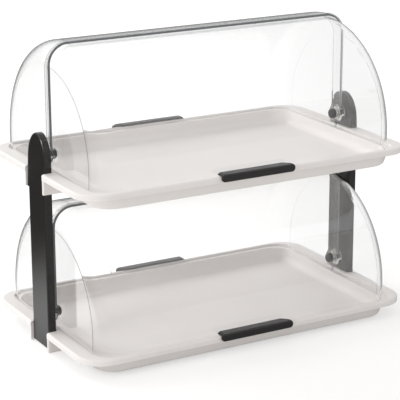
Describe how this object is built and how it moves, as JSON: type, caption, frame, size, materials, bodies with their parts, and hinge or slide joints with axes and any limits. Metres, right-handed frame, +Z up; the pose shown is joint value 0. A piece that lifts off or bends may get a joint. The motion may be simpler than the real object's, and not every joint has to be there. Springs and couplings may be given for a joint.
{
  "type": "countertop bread display bin",
  "caption": "Two-tier countertop bread display: white trays under clear roll-top covers that open to front and back, carried one above the other on black end posts.",
  "frame": {"origin": "centre of the footprint, on the surface that the rubber feet stand on", "axes": "+X along the trays, towards the right-hand post; +Y towards the back; +Z up"},
  "size_m": [0.53, 0.335, 0.4393],
  "materials": {
    "tray_white": "white ABS moulding, soft gloss",
    "cover_clear": "clear SAN moulding, polished",
    "post_black": "black ABS moulding, satin",
    "handle_black": "black ABS moulding, satin",
    "pin_black": "black acetal, soft gloss",
    "washer_natural": "natural nylon, plain",
    "rod_steel": "stainless threaded stud, plain",
    "insert_brass": "knurled brass, plain",
    "foot_rubber": "grey rubber, dull"
  },
  "bodies": {
    "stand": {"lower_tray": "tray_white", "lower_right_pivot_pin": "pin_black", "lower_left_pivot_pin": "pin_black", "lower_pivot_washers": "washer_natural", "upper_tray": "tray_white", "upper_right_pivot_pin": "pin_black", "upper_left_pivot_pin": "pin_black", "upper_pivot_washers": "washer_natural", "right_column": "post_black", "right_bracket": "post_black", "left_column": "post_black", "left_bracket": "post_black", "tie_rods": "rod_steel", "rod_nuts": "rod_steel", "threaded_inserts": "insert_brass", "rubber_feet": "foot_rubber"},
    "lower_front_half": {"lower_front_cover": "cover_clear", "lower_front_handle": "handle_black"},
    "lower_back_half": {"lower_back_cover": "cover_clear", "lower_back_handle": "handle_black"},
    "upper_front_half": {"upper_front_cover": "cover_clear", "upper_front_handle": "handle_black"},
    "upper_back_half": {"upper_back_cover": "cover_clear", "upper_back_handle": "handle_black"}
  },
  "joints": [
    {"name": "lower_front_hinge", "type": "hinge", "parent": "stand", "child": "lower_front_half", "pos_m": [0, 0, 0.0495], "axis": [-1, 0, 0], "range_deg": [0, 45]},
    {"name": "lower_back_hinge", "type": "hinge", "parent": "stand", "child": "lower_back_half", "pos_m": [0, 0, 0.0495], "axis": [1, 0, 0], "range_deg": [0, 45]},
    {"name": "upper_front_hinge", "type": "hinge", "parent": "stand", "child": "upper_front_half", "pos_m": [0, 0, 0.2815], "axis": [-1, 0, 0], "range_deg": [0, 45]},
    {"name": "upper_back_hinge", "type": "hinge", "parent": "stand", "child": "upper_back_half", "pos_m": [0, 0, 0.2815], "axis": [1, 0, 0], "range_deg": [0, 45]}
  ]
}
